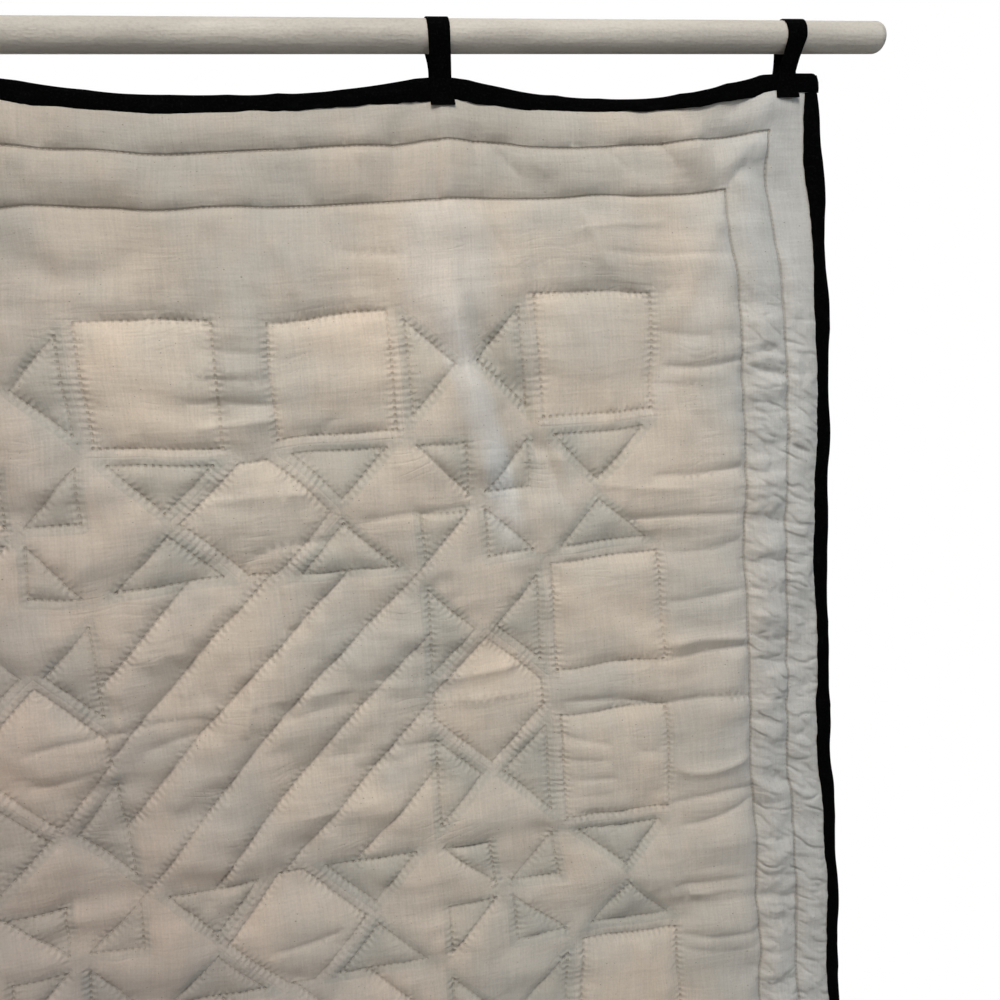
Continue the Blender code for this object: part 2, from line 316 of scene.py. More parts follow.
CREASES = (  # in millimetres: start x and z, end x and z, bow, half width, height or, below 0, depth
    (441, 507, 552, 505, 1, 2.2, -1.5),
    (419, 525, 496, 533, 2, 2.6, 1.4),
    (486, 480, 502, 477, 0, 1.9, -1.5),
    (480, 445, 525, 443, -1, 2.6, -1.5),
    (480, 418, 582, 431, -4, 2.7, -3.2),
    (480, 404, 517, 403, 1, 2.6, -1.8),
    (473, 335, 552, 338, -3, 2.7, -3.3),
    (450, 302, 552, 296, 1, 2.6, -3.3),
    (480, 271, 552, 277, -4, 2.9, -2.1),
    (430, 336, 507, 321, -2, 2.2, 1.6),
    (423, 544, 444, 488, 2, 2.6, 1.6),
    (548, 542, 484, 452, 3, 8.5, 2),
    (494, 394, 519, 362, 4, 8, -2.6),
    (552, 557, 586, 597, 0, 3.8, -2.5),
    (480, 230, 552, 236, -1, 2.9, -2.5),
    (477, 197, 552, 193, 2, 3.1, 3.3),
    (478, 184, 552, 188, -1, 2.9, -2.9),
    (388, 159, 472, 147, 1, 2.7, -3.3),
    (472, 147, 552, 142, 2, 2.7, -3.4),
    (480, 88, 552, 94, -6, 2.9, 3.4),
    (478, 58, 552, 64, 3, 2.7, -3.2),
    (484, 37, 552, 56, -3, 2.6, -2.4),
    (473, -15, 551, -17, -1, 2.9, -2.5),
    (486, -26, 551, -27, 0, 3.4, 2.7),
    (480, -63, 551, -67, -3, 2.9, -3.4),
    (477, -72, 551, -79, -6, 3.1, -2.1),
    (446, 110, 470, 105, 0, 2, -1.6),
    (392, 62, 420, 58, 0, 2, -1.8),
    (440, -62, 462, -115, 2, 5, 2),
    (428, -66, 444, -118, 0, 5, -1.8),
    (237, 322, 326, 327, 1, 2.2, -2.4),
    (124, 345, 206, 343, 3, 3.1, 2.1),
    (153, 297, 220, 310, 4, 2.6, -2.5),
    (317, 632, 318, 545, 0, 2.2, -2.1),
    (326, 610, 322, 480, 2, 5, 2.4),
    (237, 523, 290, 516, -1, 2, -1.5),
    (172, 545, 170, 470, 0, 12, 3.6),
    (150, 540, 150, 480, 0, 3.4, -2.3),
    (128, 457, 186, 452, 1, 2.6, -1.4),
    (132, 440, 186, 444, -1, 2.6, 0.8),
    (130, 436, 184, 434, 1, 2.2, -1),
    (124, 420, 186, 414, 2, 2.6, -2.7),
    (130, 402, 186, 404, 1, 2.7, 2.4),
    (32, 530, 50, 480, 2, 7, -2.4),
    (-16, 169, 124, 178, 6, 2.9, -2.6),
    (66, 158, 124, 170, 2, 2.6, -1.8),
    (124, 182, 286, 185, 4, 2.2, 0.8),
    (179, 170, 286, 175, 2, 2.2, -1.1),
    (138, 160, 179, 169, 0, 2, -0.9),
    (198, 134, 284, 136, 1, 2.2, -1),
    (196, 125, 270, 127, -1, 2.2, -1.5),
    (177, 90, 258, 100, -2, 2.4, 0.7),
    (205, 84, 256, 89, 0, 2.2, 0.6),
    (158, 70, 184, 62, 2, 8, -2.9),
    (-16, 145, 42, 152, -1, 2.9, -2.7),
    (148, 200, 143, 160, 2, 2.6, 3),
    (90, 255, 86, 225, 0, 5, 1.7),
    (96, 148, 82, 112, 2, 7, 2.2),
    (143, -15, 203, -5, -2, 2.2, -2.4),
    (286, 187, 362, 191, 1, 2.7, 2.3),
    (286, 169, 366, 168, 0, 2.2, 1.9),
    (320, 486, 348, 335, -2, 10, 7.5),
    (338, 470, 392, 352, -3, 8, -6),
    (372, 420, 386, 345, -2, 3.4, -3),
    (352, 400, 372, 350, -1, 2.9, -2.4),
    (388, 372, 404, 318, -1, 2.9, -2.4),
    (400, 362, 416, 318, -1, 2.6, 2.1),
    (553, 431, 586, 423, 1, 2.8, -2.6),
    (553, 419, 587, 407, -1, 2.8, -2.4),
    (556, 410, 584, 401, 0, 3.2, 2.2),
    (555, 395, 580, 384, 1, 2.8, -1.6),
    (556, 322, 584, 313, 0, 3, -1.4),
    (553, 262, 586, 255, 1, 3, -1.6),
    (552, 236, 587, 227, 2, 2.8, -2.6),
    (554, 214, 584, 206, 0, 3.6, 2.8),
    (553, 193, 587, 188, -1, 2.6, -2.4),
    (553, 184, 586, 178, 1, 2.6, -2),
    (555, 176, 585, 166, 0, 2.8, -2.2),
    (552, 143, 586, 134, 2, 2.8, -2.8),
    (554, 121, 584, 113, 0, 2.8, -2.2),
    (553, 100, 586, 94, 0, 4, -3),
    (553, 76, 587, 61, 1, 2.8, -2.8),
    (554, 66, 584, 53, 0, 3.2, 2.2),
    (553, 48, 586, 40, 1, 2.8, -2.4),
    (554, 19, 586, 11, -1, 2.8, -2.4),
    (553, -18, 586, -23, 1, 2.8, -2.6),
    (553, -34, 587, -46, 1, 2.8, -2.6),
    (553, -55, 586, -66, 0, 2.8, -2.6),
    (554, -88, 585, -94, 1, 2.8, -2.2),
    (553, -113, 586, -119, 0, 2.8, -2.2),
    (590, 431, 612, 401, 2, 3, -2.8),
    (589, 350, 612, 338, 1, 2.8, -1.8),
    (589, 286, 611, 279, 0, 2.8, -1.6),
    (590, 210, 612, 198, 1, 3, -2),
    (589, 150, 612, 141, 0, 2.8, -1.8),
    (589, 107, 612, 95, 1, 3, -2.6),
    (590, 53, 612, 48, 0, 3.4, 2.6),
    (589, 4, 612, -7, 0, 2.8, -1.8),
    (590, -62, 612, -67, 0, 3.4, 2.6),
    (361, 592, 385, 570, 1, 2.8, -1.8),
    (384, 597, 402, 573, -1, 3, 0.8),
    (417, 609, 432, 592, 0, 2.8, -0.7),
    (446, 596, 466, 573, 1, 2.8, -1.6),
    (492, 602, 509, 573, 0, 2.8, -1.8),
    (522, 600, 534, 574, 1, 3, 1.8),
    (191, 535, 210, 492, 2, 5, 2.4),
    (250, 600, 262, 574, 0, 2.8, -1.4),
    (284, 604, 290, 572, 0, 2.8, -1.6),
    (346, 602, 352, 573, 0, 2.8, -1.6),
    (350, 542, 372, 500, 1, 2.8, -1.4),
    (384, 130, 428, 117, 1, 2.6, -1.8),
    (384, 108, 426, 104, 1, 2.6, -1.4),
    (384, 94, 430, 88, -1, 2.6, -1.8),
    (384, 76, 426, 74, 0, 2.6, -1.4),
    (380, 262, 384, 226, 1, 3, 1.4),
    (232, 402, 212, 386, 0, 2.6, -1.4),
    (176, 280, 176, 241, 0, 1.8, -1.4),
    (191, 280, 191, 241, 0, 1.8, -1.4),
    (174, 242, 193, 242, 0, 1.8, -1.2),
    (183, 276, 184, 244, 0, 4.5, 1.4),
    (175, 240, 175, 166, 0, 2.4, 1.3),
    (417, 546, 417, 482, 0, 2.4, -0.8),
    (383, 540, 383, 486, 0, 2.4, 0.8),
    (155, 468, 182, 474, 1, 4, 1.4),
    (218, 250, 222, 200, 2, 3, 1.2),
    (106, 236, 100, 196, 0, 3, 1.4),
    (60, 214, 54, 180, 1, 3.4, 1.4),
    (250, 150, 246, 118, 0, 2.6, 1.2),
)
CREASE_PIECE = 0.016
CREASE_TAPER = 0.16  # share of its length over which a crease fades out at each end
CREASE_END = 0.3  # share of its height that is left there
CREASE_SHARPNESS = 4
FAN = {"size": 0.0048, "folds": 9.0, "reach": 0.20, "spread": 0.85, "above": 0.05, "start": 0.02}


def gap_to(points, line):
    """Distance from each point to one line, with rows of start and end."""
    start, way = line[:2], line[2:] - line[:2]
    share = np.clip((points - start) @ way / (way @ way), 0, 1)
    return np.hypot(*(points - start - share[:, None] * way).T)


def heading_of(line):
    """0 for a line across, 1 for one that climbs, 2 for an upright one, 3 for one that falls."""
    return round(math.atan2(line[3] - line[1], line[2] - line[0]) / (math.pi / 4)) % 4


def survey(points, side):
    """(gap to the nearest line of each heading, puff beside the lines, broad puff)."""
    _, near_reach, _, broad_reach = PUFF[side]
    gaps = np.full((len(points), 4), 1.0)
    near, broad = np.ones((2, len(points)))
    for line in sewn_lines:
        gap = gap_to(points, line)
        heading = heading_of(line)
        gaps[:, heading] = np.minimum(gaps[:, heading], gap)
        near *= 1 - np.exp(-gap / near_reach)
        broad *= 1 - np.exp(-gap / broad_reach)
    return gaps, near, broad


def along_and_across(points, degrees):
    turn = math.radians(degrees)
    x, z = points.T
    return (
        x * math.cos(turn) + z * math.sin(turn),
        z * math.cos(turn) - x * math.sin(turn),
    )


def shared_folds(points):
    """Folds that move the whole thickness towards the front, in metres."""
    x, z = points.T
    drop = CLOTH_UP - z
    total = np.zeros(len(points))
    for number, (degrees, *sizes) in enumerate(WRINKLES):
        spacing, length, soft, crease, cx, cz, rx, rz = np.array(sizes) / 1000
        along, across = along_and_across(points, degrees)
        bend = 0.35 * unit_noise(along / length, across / length, 90 + number)
        place = across / spacing + bend * length / spacing
        wave = soft * unit_noise(along / length, place, number)
        line = (1 - abs(unit_noise(along / length + 20, 0.7 * place, 40 + number))) ** CREASE_SHARPNESS
        some = unit_noise(along / length + 7, 0.5 * place, 60 + number)
        total += (wave + crease * line * some) * np.exp(-(((x - cx) / rx) ** 4) - ((z - cz) / rz) ** 4)
    for number, (foot, _) in enumerate(TABS):
        angle = (x - foot) / (drop + FAN["above"])
        fold = np.cos(FAN["folds"] * angle + 2.1 * number) * np.exp(-((angle / FAN["spread"]) ** 2))
        total += FAN["size"] * fold * np.exp(-drop / FAN["reach"]) * (1 - np.exp(-drop / FAN["start"]))
    return total


def crease_path(start_x, start_z, end_x, end_z, bow):
    """Points along a gentle arc between the ends of a crease."""
    start, end = np.array([start_x, start_z]), np.array([end_x, end_z])
    way = end - start
    count = max(2, math.ceil(np.hypot(*way) / CREASE_PIECE))
    shares = np.linspace(0, 1, count + 1)[:, None]
    sideways = np.array([-way[1], way[0]]) / np.hypot(*way)
    return start + shares * way + 4 * bow * shares * (1 - shares) * sideways


def placed_creases(points):
    """The main creases, in metres towards the front, each fading out at its ends."""
    total = np.zeros(len(points))
    for *course, width, height in np.array(CREASES) / 1000:
        path = crease_path(*course)
        beside = np.min([gap_to(points, np.hstack(pair)) for pair in zip(path, path[1:])], axis=0)
        way = path[-1] - path[0]
        share = np.clip((points - path[0]) @ way / (way @ way), 0, 1)
        fade = np.clip(np.minimum(share, 1 - share) / CREASE_TAPER + CREASE_END, 0, 1)
        total += height * fade * np.exp(-((beside / width) ** 2))
    return total


def puckers(points, gaps):
    """Small gathers that run out from the sewn lines, in metres."""
    total = np.zeros(len(points))
    for heading in range(4):
        along, across = along_and_across(points, 45 * heading)
        gather = unit_noise(along / PUCKER_PITCH, across / PUCKER_LENGTH, 20 + heading)
        total += gather * np.exp(-gaps[:, heading] / PUCKER_REACH)
    return PUCKER_SIZE * total


def surface(points, side):
    """(hung places, gaps) of plan points on the front or the back face."""
    near_height, _, broad_height, _ = PUFF[side]
    gaps, near, broad = survey(points, side)
    x, z = points.T
    edge = np.minimum(CLOTH_HALF_WIDTH - np.abs(x), np.minimum(CLOTH_UP - z, CLOTH_DOWN + z))
    calm = 1 - np.exp(-np.maximum(edge - CALM_RIM, 0) / RIM_REACH)
    half = LINE_HALF_THICKNESS + RIM_SWELL * np.exp(-edge / RIM_REACH)
    crown = broad_height * (1 - TOP_FLATNESS * np.clip((z - FLATTER_FROM) / FLATTER_OVER, 0, 1))
    half += calm * near * (near_height + puckers(points, gaps)) + calm * broad * crown
    half *= np.clip(edge / RIM_TAPER, 0, 1)
    folds = calm * (shared_folds(points) + placed_creases(points))
    y = -folds - half if side == "front" else -folds + half
    return hang(np.stack([x, y, z], axis=1)), gaps


RIM_STEP = 0.0085
FRONT_SPACING = 0.0055
BACK_SPACING = 0.0096
SIDE_ROW = 0.0019
WIDEST_GUIDED_CREASE = 0.0040
LONGEST_GAP = 0.040
FILL_CLEARANCE = 0.55  # of the spacing, from the lines and the rows beside them
ROW_CLEARANCE = 0.95  # of the side row's distance, from every line


def spread_over(spacing, side_rows):
    """Plan triangulation whose edges lie on every sewn line: (points, triangles)."""
    points, edges = [], []

    def lay(line, step):
        count = max(1, round(np.hypot(*(line[2:] - line[:2])) / step))
        shares = np.linspace(0, 1, count + 1)[:, None]
        first = sum(len(part) for part in points)
        points.append(line[:2] + shares * (line[2:] - line[:2]))
        edges.extend((first + number, first + number + 1) for number in range(count))

    for line in cloth_edge:
        lay(line, RIM_STEP)
    for line in sewn_lines:
        lay(line, spacing)
    guides = sewn_lines
    if side_rows:
        courses = [row[:5] for row in np.array(CREASES) / 1000 if row[5] < WIDEST_GUIDED_CREASE]
        paths = [crease_path(*course) for course in courses]
        crease_lines = np.vstack([np.hstack(pair) for path in paths for pair in zip(path, path[1:])])
        for line in crease_lines:
            lay(line, spacing)
        guides = np.vstack([sewn_lines, crease_lines])
    every_line = np.vstack([cloth_edge, guides])
    grid_x = np.arange(-CLOTH_HALF_WIDTH, CLOTH_HALF_WIDTH, spacing)
    grid_z = np.arange(-CLOTH_DOWN, CLOTH_UP, spacing * math.sqrt(3) / 2)
    across, up = np.meshgrid(grid_x, grid_z)
    across = across + (np.arange(len(grid_z)) % 2)[:, None] * spacing / 2
    fills = [(np.stack([across.ravel(), up.ravel()], axis=1), side_rows + FILL_CLEARANCE * spacing)]
    if side_rows:
        beside = []
        for line in guides:
            way = line[2:] - line[:2]
            length = np.hypot(*way)
            count = max(1, round(length / spacing))
            middles = line[:2] + ((np.arange(count) + 0.5) / count)[:, None] * way
            beside += [middles + hand * side_rows * np.array([-way[1], way[0]]) / length for hand in (-1, 1)]
        fills.append((np.vstack(beside), ROW_CLEARANCE * side_rows))
    for fill, clearance in fills:
        nearest = np.min([gap_to(fill, line) for line in every_line], axis=0)
        x, z = fill.T
        inside = (np.abs(x) < CLOTH_HALF_WIDTH) & (-CLOTH_DOWN < z) & (z < CLOTH_UP)
        points.append(fill[inside & (nearest > clearance)])
    corners = [Vector(point) for point in np.vstack(points).tolist()]
    found = delaunay_2d_cdt(corners, edges, [], 0, 1e-6, False)
    return np.array([point[:] for point in found[0]]), np.array(found[2])


front_plan, front_faces = spread_over(FRONT_SPACING, SIDE_ROW)
back_plan, back_faces = spread_over(BACK_SPACING, 0.0)
front_places, front_gaps = surface(front_plan, "front")
back_places, back_gaps = surface(back_plan, "back")


def depth_inside(points, shapes):
    """How far each point lies inside the nearest shape, negative outside it."""
    depth = np.full(len(points), -LONGEST_GAP)
    for shape in shapes:
        normals = [(-way[1], way[0]) / np.hypot(*way) for way in np.roll(shape, -1, axis=0) - shape]
        inner = np.min([(points - corner) @ normal for corner, normal in zip(shape, normals)], axis=0)
        depth = np.maximum(depth, inner)
    return depth


def put(name, data):
    made = bpy.data.objects.new(name, data)
    bpy.context.scene.collection.objects.link(made)
    return made


def mesh_object(name, places, faces):
    mesh = bpy.data.meshes.new(name)
    mesh.from_pydata(places.tolist(), [], [list(face) for face in faces])
    mesh.shade_smooth()
    return put(name, mesh)


def lay_map(mesh, chart):
    """Give the mesh a UV map, from a place for each of its points."""
    corners = np.empty(len(mesh.loops), int)
    mesh.loops.foreach_get("vertex_index", corners)
    mesh.uv_layers.new(name="cloth").uv.foreach_set("vector", chart[corners].ravel())


plan = np.vstack([front_plan, back_plan])
quilt = mesh_object(
    "quilt_cloth",
    np.vstack([front_places, back_places]),
    np.vstack([front_faces, back_faces[:, ::-1] + len(front_plan)]),
)
line_gap = quilt.data.attributes.new("line_gap", "FLOAT_COLOR", "POINT")
line_gap.data.foreach_set("color", np.clip(np.vstack([front_gaps, back_gaps]) / LONGEST_GAP, 0, 1).ravel())
seam_depth = quilt.data.attributes.new("seam_depth", "FLOAT_VECTOR", "POINT")
plain_back = np.full(len(back_plan), -LONGEST_GAP)
depths = [
    np.append(depth_inside(front_plan, [np.asarray(corners) for corners in shapes]), plain_back)
    for shapes in (dark_patches, pale_patches)
]
on_face = np.repeat([1.0, 0.0], [len(front_plan), len(back_plan)])
seam_depth.data.foreach_set("vector", np.stack(depths + [on_face], axis=1).ravel())
lay_map(quilt.data, plan)

shape = bmesh.new()
shape.from_mesh(quilt.data)
rim = [vertex for vertex in shape.verts if vertex.is_boundary]
bmesh.ops.remove_doubles(shape, verts=rim, dist=1e-4)
twice = [face for face in shape.faces if sum(edge.is_boundary for edge in face.edges) > 1]
bmesh.ops.delete(shape, geom=twice, context="FACES")
shape.to_mesh(quilt.data)
shape.free()


class Value:
    """A node's output: plain arithmetic on it adds the Math nodes."""

    def __init__(self, nodes, output):
        self.nodes = nodes
        self.output = output

    def beside(self, name):
        """Another output of the same node."""
        return Value(self.nodes, self.output.node.outputs[name])

    def math(self, operation, *others):
        values = dict(enumerate((self, *others)))
        return self.nodes.node("ShaderNodeMath", {"operation": operation}, values)

    def __add__(self, other):
        return self.math("ADD", other)

    __radd__ = __add__

    def __mul__(self, other):
        return self.math("MULTIPLY", other)

    __rmul__ = __mul__

    def __sub__(self, other):
        return self.math("SUBTRACT", other)

    def __rsub__(self, other):
        return self * -1 + other

    def __truediv__(self, other):
        return self.math("DIVIDE", other)

    def __abs__(self):
        return self.math("ABSOLUTE")

    def sine(self):
        return self.math("SINE")

    def ramp(self, low, high):
        """0 below low and 1 above high, smooth between, and falling where low is the larger."""
        settings = {"interpolation_type": "SMOOTHSTEP"}
        if low > high:
            return 1 - self.ramp(high, low)
        return self.nodes.node("ShaderNodeMapRange", settings, {0: self, 1: low, 2: high})


class Nodes:
    """A node tree, with one way to add any node."""

    def __init__(self, tree):
        self.tree = tree

    def set(self, socket, value):
        if isinstance(value, Value):
            self.tree.links.new(value.output, socket)
        elif value is not None:
            socket.default_value = value

    def node(self, kind, settings=None, inputs=None, output=0):
        made = self.tree.nodes.new(kind)
        for name, value in (settings or {}).items():
            setattr(made, name, value)
        for name, value in (inputs or {}).items():
            self.set(made.inputs[name], value)
        return Value(self, made.outputs[output])

    def parts(self, vector):
        separate = self.node("ShaderNodeSeparateXYZ", {}, {0: vector})
        return [separate.beside(part) for part in range(3)]


class Finish(Nodes):
    """A material on a Principled surface."""

    def __init__(self, name, roughness, sheen=0.0, specular=0.5):
        self.material = bpy.data.materials.new(name)
        self.material.use_nodes = True
        super().__init__(self.material.node_tree)
        self.shader = self.tree.nodes["Principled BSDF"]
        self.set(self.shader.inputs["Roughness"], roughness)
        self.set(self.shader.inputs["Sheen Weight"], sheen)
        self.set(self.shader.inputs["Specular IOR Level"], specular)

    def attribute(self, name, output):
        return self.node("ShaderNodeAttribute", {"attribute_name": name}, output=output)

    def vector(self, x, y, z=0.0):
        return self.node("ShaderNodeCombineXYZ", {}, {0: x, 1: y, 2: z})

    def noise(self, place, scale=1.0, detail=2.0, roughness=0.5):
        inputs = {"Vector": place, "Scale": scale, "Detail": detail, "Roughness": roughness}
        return self.node("ShaderNodeTexNoise", {}, inputs)

    def spots(self, place, sizes, depth=0.0, detail=2.0, roughness=0.5):
        """Noise with cells of the given sizes, in the units of the place's parts."""
        parts = [part / size for part, size in zip(place, sizes)]
        vector = self.vector(*parts, *[depth][: 3 - len(parts)])
        return self.noise(vector, detail=detail, roughness=roughness)

    def blend(self, share, colour_a, colour_b, how="MIX"):
        settings = {"data_type": "RGBA", "blend_type": how}
        return self.node("ShaderNodeMix", settings, {0: share, 6: colour_a, 7: colour_b}, 2)

    def dress(self, colour, height_mm, roughness=None):
        """Set the colour and the bump, whose height is in millimetres."""
        bump = self.node("ShaderNodeBump", {}, {"Height": height_mm, "Distance": 0.001, "Strength": 1.0})
        self.set(self.shader.inputs["Base Color"], colour)
        self.set(self.shader.inputs["Normal"], bump)
        self.set(self.shader.inputs["Roughness"], roughness)


# Muslin: plain weave with slubs, small dark flecks of seed, a little unevenly washed. Sewn lines
# pull in small gathers and needle dimples, and the patches underneath show through as shade.
# Painted light in the cloth colour: shade towards the left, the bottom and the top border, cool light
# towards the right edge, highlight streaks along soft folds, and shade in the sewn grooves and needle
# dimples.
WARM_MUSLIN = (0.585, 0.505, 0.415, 1)
COOL_MUSLIN = (0.500, 0.462, 0.402, 1)
# painted light: a cool cast for the light falling on the right edge
RIGHT_EDGE_COOL_LIGHT = (0.500, 0.500, 0.478, 1)
SHOWN_THROUGH = (0.82, 0.865, 0.88, 1)
PALE_PATCH = (1.10, 1.075, 1.05, 1)
# painted shade: light falling off towards the left and the bottom
FALLOFF_SHADE = (0.88, 0.84, 0.85, 1)
# painted shade: the top border turned away from the light
TOP_BORDER_SHADE = (0.77, 0.78, 0.79, 1)
FLECK = (0.20, 0.17, 0.13, 1)
# painted shade: the shade in sewn grooves and needle dimples
PAINTED_GROOVE_SHADE = (0.52, 0.49, 0.45, 1)
THREAD_PITCH = 0.48  # this and the stitches' pitches are in millimetres
# painted highlights: pale bluish streaks along soft folds where they catch the light
PAINTED_HIGHLIGHT = (0.66, 0.67, 0.66, 1)
HIGHLIGHT_STREAKS = (  # centre, lean, half width, half height in millimetres, strength
    ((338, 395), -0.27, 17, 105, 0.40),
    ((322, 505), -0.04, 46, 85, 0.24),
    ((352, 330), -0.10, 17, 60, 0.24),
    ((515, 452), 0.55, 17, 90, 0.14),
)
PATCH_STITCH = 5.1
BORDER_STITCH = 3.9
RELIEF = {  # millimetres
    "weave": 0.022,
    "weft": 0.10,
    "warp": 0.08,
    "grain": 0.10,
    "creases": 0.75,
    "folds": 0.45,
    "fine creases": 0.18,
    "gathers": 0.28,
    "needle holes": 0.50,
    "sewn line": 0.22,
    "border line": 0.45,
    "side creases": 1.3,
    "seams under": 0.07,
}

muslin = Finish("muslin", roughness=0.93, sheen=0.15, specular=0.2)
flat_place = muslin.node("ShaderNodeUVMap", {"uv_map": "cloth"})
across_mm, up_mm, _ = [part * 1000 for part in muslin.parts(flat_place)]
cloth_mm = (across_mm, up_mm)

colour_gaps = muslin.attribute("line_gap", 0)
gap_parts = muslin.node("ShaderNodeSeparateColor", {}, {0: colour_gaps})
line_gaps = [*map(gap_parts.beside, range(3)), colour_gaps.beside("Alpha")]
line_gaps = [gap * (1000 * LONGEST_GAP) for gap in line_gaps]
seam_parts = muslin.parts(muslin.attribute("seam_depth", 1))
dark_depth, pale_depth = [part * 1000 for part in seam_parts[:2]]
on_front_face = seam_parts[2]

wobble = muslin.spots(cloth_mm, (9, 9), detail=1.0) * 2.4
half_root = math.sqrt(0.5)
along_lines = [
    across_mm,
    (across_mm + up_mm) * half_root,
    up_mm,
    (across_mm - up_mm) * half_root,
]
outermost = muslin.node("ShaderNodeMath", {"operation": "MAXIMUM"}, {0: abs(across_mm), 1: abs(up_mm)})
in_border = outermost.ramp(525, 530)
dimples, gathers, groove_shade_share, groove = 0.0, 0.0, 0.0, 0.0
unevenness = muslin.spots(cloth_mm, (26, 26), 5.0, detail=1.0).ramp(0.3, 0.7)
for gap, along in zip(line_gaps, along_lines):
    beat = in_border * (along * (math.tau / BORDER_STITCH) + wobble).sine()
    beat = beat + (1 - in_border) * (along * (math.tau / PATCH_STITCH) + wobble).sine()
    hole = gap.ramp(1.8, 0.3) * beat.ramp(-0.2, 0.8)
    dimples = dimples + hole
    gathers = gathers + gap.ramp(8.5, 0.5) * beat
    groove_shade_share = groove_shade_share + gap.ramp(1.9, 0.2)
    groove = groove + gap.ramp(1.7, 0.1)

coarse_weft = muslin.spots(cloth_mm, (38, 1.5), 3.1)
coarse_warp = muslin.spots(cloth_mm, (1.3, 30), 7.3)
fine_grain = muslin.spots(cloth_mm, (1.5, 1.9), detail=3.0, roughness=0.6)
weave = (across_mm * (math.tau / THREAD_PITCH)).sine() * (up_mm * (math.tau / THREAD_PITCH)).sine()
small_creases = muslin.spots(cloth_mm, (34, 7.5), 3.1, detail=3.0)
small_folds = muslin.spots(cloth_mm, (8.0, 30), 7.3)
drift = muslin.spots(cloth_mm, (60, 52), 23.0, detail=0.0) * 34
tilted_mm = (across_mm, up_mm + drift - across_mm * 0.12)
fine_creases = abs(muslin.spots(tilted_mm, (42, 7.5), 3.1, detail=0.0) - 0.5).ramp(0.12, 0.0)
some_creased = muslin.spots(cloth_mm, (45, 38), 9.0, detail=1.0).ramp(0.50, 0.70)
ghost_seams = abs(dark_depth).ramp(1.1, 0.1) + abs(pale_depth).ramp(1.1, 0.1)

in_side_border = abs(across_mm).ramp(538, 560)
slanting_mm = (across_mm, up_mm + across_mm * 0.35)
border_creases = muslin.spots(slanting_mm, (24, 15), 17.0, detail=1.0)
side_creases = in_side_border * up_mm.ramp(520, 400) * abs(border_creases - 0.5).ramp(0.17, 0.0)
height = side_creases * -RELIEF["side creases"] + weave * RELIEF["weave"] + coarse_weft * RELIEF["weft"]
height = height + coarse_warp * RELIEF["warp"] + fine_grain * RELIEF["grain"]
height = height + small_creases * RELIEF["creases"] + small_folds * RELIEF["folds"]
height = height - fine_creases * some_creased * (RELIEF["fine creases"] - in_border * 0.12)
dimples = dimples * (0.35 + unevenness * 0.65) * (1 - in_border * 0.55)
gathers = gathers * (1 - in_border * 0.8) * (0.35 + on_front_face * 0.65)
height = height + gathers * (0.06 + unevenness * RELIEF["gathers"]) - dimples * RELIEF["needle holes"]
height = height - groove * (RELIEF["sewn line"] + in_border * RELIEF["border line"])
height = height - ghost_seams * RELIEF["seams under"]

patch = dark_depth.ramp(-1.4, 2.0)
blotches = muslin.spots(cloth_mm, (120, 140), detail=3.0, roughness=0.6)
mottle = muslin.spots(cloth_mm, (17, 14), detail=3.0, roughness=0.6)
tone = muslin.blend(blotches.ramp(0.34, 0.66), WARM_MUSLIN, COOL_MUSLIN)
# painted light: the cloth turns cooler and greyer towards the right edge, standing in for cool light from
# that side
tone = muslin.blend(across_mm.ramp(490, 590) * 0.8, tone, RIGHT_EDGE_COOL_LIGHT)
# painted shade: the top border is darkened, more towards the left, as if turned away from the light
top_border_shade_share = (up_mm - across_mm * 0.12).ramp(450, 560) * (0.42 + across_mm.ramp(560, 0) * 0.58)
tone = muslin.blend(top_border_shade_share * on_front_face, tone, TOP_BORDER_SHADE, "MULTIPLY")
# painted shade: the front is darkened towards the left and the bottom, where the light falls off
falloff_shade_share = (across_mm * 1.3 + up_mm * 0.55).ramp(430, 0) * on_front_face
tone = muslin.blend(falloff_shade_share, tone, FALLOFF_SHADE, "MULTIPLY")
tone = muslin.blend(patch * (0.50 + unevenness * 0.40), tone, SHOWN_THROUGH, "MULTIPLY")
tone = muslin.blend(pale_depth.ramp(4.8, 6.9), tone, PALE_PATCH, "MULTIPLY")
# painted highlights: pale streaks laid along soft folds
for (x, z), lean, half_width, half_height, strength in HIGHLIGHT_STREAKS:
    aside = (across_mm - x - (up_mm - z) * lean + wobble * 1.5) * (1 / half_width)
    above = (up_mm - z) * (1 / half_height)
    highlight_streak = (aside * aside + above * above).ramp(1.0, 0.1) * on_front_face
    tone = muslin.blend(highlight_streak * strength, tone, PAINTED_HIGHLIGHT)
shade = 0.655 + mottle * 0.15 + coarse_weft * 0.16 + coarse_warp * 0.24 + fine_grain * 0.29
tone = muslin.blend(1.0, tone, muslin.vector(shade, shade, shade), "MULTIPLY")
specks = muslin.spots(cloth_mm, (2.2, 1.6), 41.0, detail=0.0).ramp(0.80, 0.86)
tone = muslin.blend(specks * 0.6, tone, FLECK)
# painted shade in the sewn grooves, stronger along the border lines, and in the needle dimples
tone = muslin.blend(groove_shade_share * (0.08 + in_border * 0.42) + dimples * 0.62, tone, PAINTED_GROOVE_SHADE, "MULTIPLY")
muslin.dress(tone, height)
quilt.data.materials.append(muslin.material)
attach(quilt, "root")
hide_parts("quilt")


# ---------------------------------------------------------------------------------------------
# Quilting stitches. Running stitches in off-white cotton thread, by hand: about five to the inch
# round the patches and closer along the border lines, each a short bead between two needle holes.
# ---------------------------------------------------------------------------------------------

THREAD = 0.00042
STITCH_LENGTH = 0.0027
PATH_STEP = 0.0025


